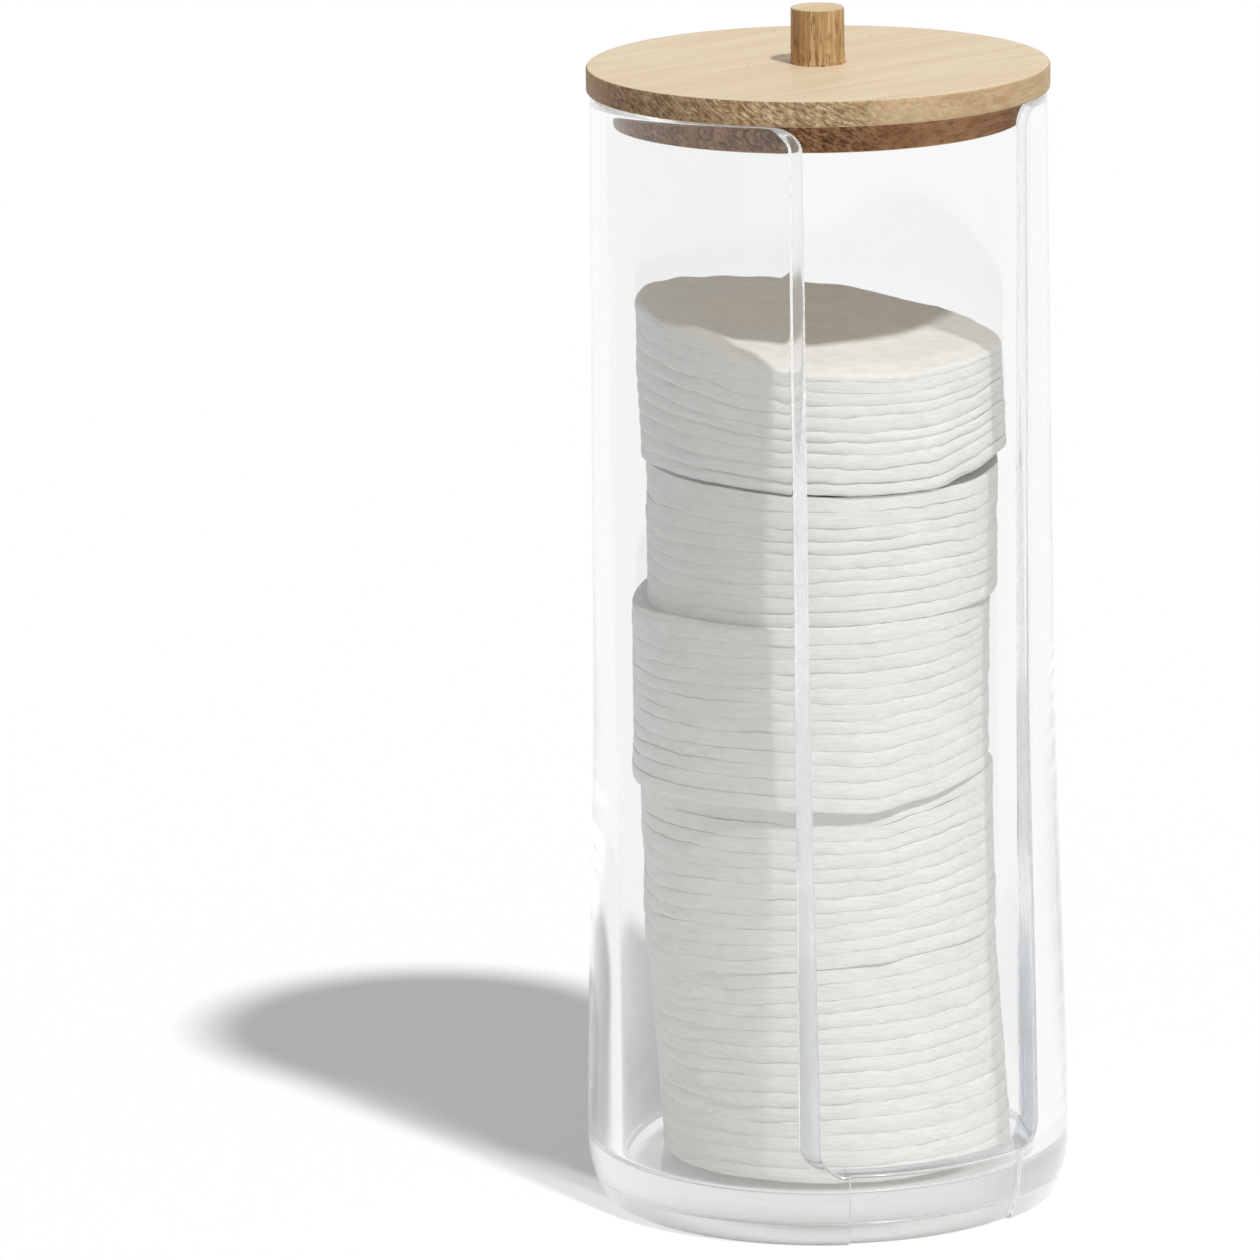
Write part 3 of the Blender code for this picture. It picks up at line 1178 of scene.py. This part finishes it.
@dataclass
class PadStack:
    """The stack of soft round pads, in five bundles."""

    bundles: tuple[Bundle, ...] = BUNDLES
    front_turn: float = math.radians(-28.8)
    gap: float = mm(0.012)
    groove: float = mm(0.15)
    wave: float = mm(0.36)
    uneven: float = mm(0.42)
    edge_wander: float = mm(0.24)
    rim_from: float = 0.7
    side_from: float = 0.99
    top_hold: float = 1.4
    end_wave: float = 0.35
    seam_waves: Layers = ((1.0, 1.6, 0.37), (0.75, 5.0, 0.83), (0.50, 15.0, 1.7), (0.25, 28.0, 3.1))
    edge_waves: Layers = ((0.8, 2.2, 0.31), (0.7, 3.1, 5.77), (0.3, 11.0, 3.3))
    groove_waves: Layers = ((0.7, 2.7, 9.1), (0.5, 9.0, 5.3))
    uneven_turn: float = 0.3
    uneven_waves: Layers = ((1.0, 1.0, 7.31),)
    proud_fade: int = 3
    proud_side: float = 1.4
    round_above: float = 0.6
    round_below: float = 0.4
    round_curve: float = 2.2
    even_groove: float = 0.8
    least_groove: float = 0.3
    first_crease: float = 0.2
    crease_growth: float = 0.4
    bowed_pads: float = 2.5
    blank: float = mm(10)
    segments: int = 216
    edge_steps: int = 10
    flat_steps: int = 7
    material: Material | None = None

    def section(self) -> Outline:
        """Half of a pad's section, from the middle of its top round to the middle of its bottom.

        Returns:
            (radius share, height share) points.
        """
        flat = [0.0] + [1 - (1 - share) ** 2 for share in steps(0.0, 1.0, self.flat_steps)][:-1]
        points = [(share, 1.0) for share in flat]
        for step in range(self.edge_steps + 1):
            points.append((1.0, 0.5 + 0.5 * math.cos(math.pi * step / self.edge_steps)))
        points += [(share, 0.0) for share in reversed(flat)]
        return points

    def grain(self, angle: float, level: float, layers: Layers, start: float = 0.0) -> float:
        """Layers of soft noise round the stack.

        Args:
            angle: the direction from the axis.
            level: the place in the stack, counted in pads.
            layers: each one's strength, spots round the stack in sixths, and spots to a pad.
            start: what they are added to.

        Returns:
            The sum.
        """
        for strength, across, along in layers:
            place = Vector((math.cos(angle) * across, math.sin(angle) * across, level * along))
            start += strength * noise.noise(place)
        return start

    def seam(self, bundle: Bundle, level: int, angle: float, share: float) -> float:
        """How far the seam between two pads lies above its even height.

        Args:
            bundle: the bundle that it belongs to.
            level: how many pads lie above it.
            angle: the direction from the axis.
            share: the distance from the axis, as a share of the pad.

        Returns:
            The rise in metres.
        """
        down = (level - bundle.first + 1) / (bundle.last - bundle.first + 1)
        across = share * math.cos(angle - self.front_turn)
        ahead = -share * math.sin(angle - self.front_turn)
        hold = (1 - down) ** self.top_hold
        top, bottom = bundle.top.lift(across, ahead), bundle.bottom.lift(across, ahead)
        rise = top * hold + bottom * (1 - hold)
        inner = min(1.0, 4 * down * (1 - down) + self.end_wave)
        rise += self.wave * share**2 * inner * self.grain(angle, level, self.seam_waves)
        return rise + self.uneven * inner * self.grain(self.uneven_turn, level, self.uneven_waves)

    def reach(self, bundle: Bundle, number: int, angle: float, rise: float) -> float:
        """How far a pad's edge stands out past its even radius.

        Args:
            bundle: the pad's bundle.
            number: the pad's place in the stack.
            angle: the direction from the axis.
            rise: the height in the pad, from 0 at its bottom to 1 at its top.

        Returns:
            The distance in metres.
        """
        down = (number - bundle.first + 0.5) / (bundle.last - bundle.first + 1)
        ahead = -math.sin(angle - self.front_turn)
        top, bottom = bundle.top.proud, bundle.bottom.proud
        proud = top * (1 - down) ** self.proud_fade + bottom * down**self.proud_fade
        out = mm(proud) * smooth(ahead * self.proud_side)
        out += self.edge_wander * self.grain(angle, number, self.edge_waves)
        ends = ((rise, number - 1, self.round_above), (1 - rise, number, self.round_below))
        for end, level, soft in ends:
            depth = self.grain(angle, level, self.groove_waves, self.even_groove)
            depth = max(self.least_groove, depth)
            grown = min(1.0, self.first_crease + self.crease_growth * (level - bundle.first))
            depth *= bundle.shoulder if level < bundle.first else grown
            near = max(0.0, (end - 1 + soft) / soft)
            out -= self.groove * bundle.creases * depth * near**self.round_curve
        return out

    def heights(self, number: int) -> Pair:
        """Where a pad would meet the pads below and above it if it lay flat.

        Args:
            number: its place from the top.

        Returns:
            The heights of its bottom and top.
        """
        low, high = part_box(f"cotton_pad_{number:02d}")
        bottom, top = low.z, high.z
        if number > self.bundles[0].first:
            top = (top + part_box(f"cotton_pad_{number - 1:02d}")[0].z - self.gap) / 2
        if number < self.bundles[-1].last:
            bottom = (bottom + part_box(f"cotton_pad_{number + 1:02d}")[1].z + self.gap) / 2
        return bottom, top

    def crown(self, bundle: Bundle, number: int, share: float, rise: float) -> float:
        """How far the topmost pads of a bundle bow down at their edge.

        Args:
            bundle: the pad's bundle.
            number: the pad's place in the stack.
            share: the distance from the axis, as a share of the pad.
            rise: the height in the pad, from 0 at its bottom to 1 at its top.

        Returns:
            The drop in metres.
        """
        level = number - bundle.first + 1 - rise
        near_edge = smooth((share - bundle.bow_from) / (1 - bundle.bow_from))
        return bundle.bow * max(0.0, 1 - level / self.bowed_pads) ** 2 * near_edge**2

    def pad(self, number: int, bundle: Bundle) -> None:
        """Makes one pad, soft at its edge and shaped by its neighbours.

        Args:
            number: its place from the top.
            bundle: the bundle that it lies in.
        """
        node = f"cotton_pad_{number:02d}"
        low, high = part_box(node)
        centre = Vector(((low.x + high.x) / 2, (low.y + high.y) / 2, 0.0))
        radius = (high.x - low.x) / 2
        even_bottom, even_top = self.heights(number)
        blank = [(share * radius, rise * self.blank) for share, rise in self.section()]
        shape = turned(blank, self.segments)
        for vert in shape.verts:
            share = math.hypot(vert.co.x, vert.co.y) / radius
            rise = vert.co.z / self.blank
            angle = math.atan2(vert.co.y, vert.co.x)
            out = radius * share
            if share > self.side_from:
                out += self.reach(bundle, number, angle, rise)
            elif number == bundle.first and share > self.rim_from:
                near_rim = smooth((share - self.rim_from) / (1 - self.rim_from))
                out += self.reach(bundle, number, angle, rise) * near_rim
            top = even_top + self.seam(bundle, number - 1, angle, share)
            bottom = even_bottom + self.seam(bundle, number, angle, share)
            height = bottom + (top - bottom) * rise - self.crown(bundle, number, share, rise)
            vert.co = (math.cos(angle) * out + centre.x, math.sin(angle) * out + centre.y, height)
        bmesh.ops.recalc_face_normals(shape, faces=shape.faces)
        name = f"pad_{number:02d}"
        made = piece(name, shape, (self.material,), bundle.body, node, sharp=180.0)

    def build(self) -> None:
        """Builds every pad, from the top down."""
        for bundle in self.bundles:
            for number in range(bundle.first, bundle.last + 1):
                self.pad(number, bundle)


@dataclass
class Studio:
    """The camera, lamp, surroundings and floor."""

    camera_turn: float = math.radians(-28.8)
    camera_away: float = 1.4805
    camera_height: float = 0.4282
    pitch: float = math.radians(-12.8508)
    yaw: float = math.radians(1.174)
    roll: float = math.radians(-0.8046)
    lens: float = 276.3
    sensor: float = 36.0
    clip: Pair = (0.05, 50.0)
    lamp_turn: float = math.radians(35.2)
    lamp_rise: float = math.radians(56.5)
    lamp_strength: float = 2.26
    lamp_size: float = math.radians(3.6)
    lamp_colour: Triple = (1.0, 0.995, 0.985)
    fill: float = 0.46
    fill_colour: Triple = (0.985, 0.99, 1.0)
    backdrop: Triple = (1.0, 1.0, 1.0)
    floor_colour: Triple = (0.95, 0.95, 0.95)
    floor_size: float = 8.0
    glass_bounces: int = 96
    diffuse_bounces: int = 12
    clear_bounces: int = 24

    def camera(self) -> None:
        """Sets up the camera at the photograph's angle."""
        data = bpy.data.cameras.new("camera")
        data.lens = self.lens
        data.sensor_width = self.sensor
        data.clip_start, data.clip_end = self.clip
        made = placed("camera", data)
        turn = Matrix.Rotation(self.camera_turn, 4, "Z")
        place = turn @ Matrix.Translation((0.0, -self.camera_away, self.camera_height))
        aim = Matrix.Rotation(self.yaw, 4, "Z") @ Matrix.Rotation(math.pi / 2 + self.pitch, 4, "X")
        made.matrix_world = place @ aim @ Matrix.Rotation(self.roll, 4, "Z")
        bpy.context.scene.camera = made

    def lamp(self) -> None:
        """Hangs the soft key lamp, high on the right."""
        data = bpy.data.lights.new("key_lamp", "SUN")
        data.energy = self.lamp_strength
        data.angle = self.lamp_size
        data.color = self.lamp_colour
        heading = self.camera_turn + self.lamp_turn
        placed("key_lamp", data).rotation_euler = (math.pi / 2 - self.lamp_rise, 0.0, heading)

    def surroundings(self) -> None:
        """Lights the object from all round, and shows white behind it."""
        world = bpy.data.worlds.new("studio")
        bpy.context.scene.world = world
        world.use_nodes = True
        world.cycles.sampling_method = "NONE"
        tree = world.node_tree
        tree.nodes.clear()
        output = tree.nodes.new("ShaderNodeOutputWorld")
        path = tree.nodes.new("ShaderNodeLightPath")
        light = tree.nodes.new("ShaderNodeBackground")
        light.inputs["Color"].default_value = (*self.fill_colour, 1.0)
        light.inputs["Strength"].default_value = self.fill
        white = tree.nodes.new("ShaderNodeBackground")
        white.inputs["Color"].default_value = (*self.backdrop, 1.0)
        seen = light.outputs["Background"]
        for ray in ("Is Glossy Ray", "Is Transmission Ray", "Is Camera Ray"):
            seen = mixed(tree, path.outputs[ray], seen, white.outputs["Background"])
        tree.links.new(seen, output.inputs["Surface"])

    def floor(self) -> None:
        """Lays the pale floor."""
        shape = bmesh.new()
        bmesh.ops.create_grid(shape, x_segments=1, y_segments=1, size=self.floor_size / 2)
        mesh = bpy.data.meshes.new("floor")
        shape.to_mesh(mesh)
        shape.free()
        nodes = Nodes("floor")
        nodes.set(Base_Color=(*self.floor_colour, 1.0), Roughness=1.0, Specular_IOR_Level=0.0)
        mesh.materials.append(nodes.material)
        placed("floor", mesh)

    def build(self) -> None:
        """Sets the studio up."""
        self.camera()
        self.lamp()
        self.surroundings()
        self.floor()
        bpy.context.scene.view_settings.view_transform = "Standard"
        cycles = bpy.context.scene.cycles
        cycles.max_bounces = self.glass_bounces
        cycles.glossy_bounces = cycles.transmission_bounces = self.glass_bounces
        cycles.diffuse_bounces = self.diffuse_bounces
        cycles.transparent_max_bounces = self.clear_bounces


def main() -> None:
    """Builds the studio and the container, and notes how large it all is."""
    logging.basicConfig(level=logging.INFO, format="%(name)s: %(message)s")
    Studio().build()
    # The cut faces' two dark colours are painted shade low down, darker on the left.
    cut_edge = ClearPlastic(
        "clear_plastic_edge", (0.97, 0.97, 0.965), (0.43, 0.46, 0.50), (0.66, 0.69, 0.73),
        clearness=0.85, roughness=0.18,
    )
    foot = ClearPlastic("clear_plastic_foot", (0.975, 0.975, 0.96), roughness=0.25)
    Cup(
        material=ClearPlastic().build(), edge_material=cut_edge.build(), foot_material=foot.build(),
    ).build()
    lid = Lid(
        face_finish=Bamboo("bamboo_face", line_width=mm(1.2), streaks=0.85, specks=0.7).build(),
        side_finish=Bamboo(
            "bamboo_side", (0.56, 0.415, 0.25), (0.41, 0.27, 0.135),
            fibre_turn=math.radians(36), pores=0.25, end_grain=1.2, end_from=mm(26), end_to=mm(31),
            # The darker colour that fades in from the left is painted shade.
            painted_shade=(0.58, 0.52, 0.48), painted_shade_from=mm(-32), painted_shade_to=mm(-3), relief=mm(0.17),
        ).build(),
        plug_finish=Bamboo(
            "bamboo_plug", (0.42, 0.235, 0.12), (0.22, 0.10, 0.045),
            pore=(0.06, 0.025, 0.012), fibre_turn=math.radians(30), pores=0.4, end_grain=1.2,
            painted_crest_highlight=(0.50, 0.30, 0.155), relief=mm(0.2), end_from=mm(18), end_to=mm(26),
        ).build(),
        knob_finish=Bamboo(
            "bamboo_knob", (0.74, 0.53, 0.28), (0.35, 0.185, 0.07),
            upright=True, streaks=1.1, line_width=mm(0.6), pores=0.75, relief=mm(0.14),
            # The darker colour that fades in from the left is painted shade.
            painted_shade=(0.74, 0.60, 0.52), painted_shade_from=mm(-4.5), painted_shade_to=mm(-1.0),
        ).build(),
        knob_top_finish=Bamboo("bamboo_knob_top", (0.71, 0.57, 0.37), (0.57, 0.42, 0.25)).build(),
    )
    lid.build()
    PadStack(material=Cotton().build()).build()
    bpy.context.view_layer.update()


if __name__ == "__main__":
    main()
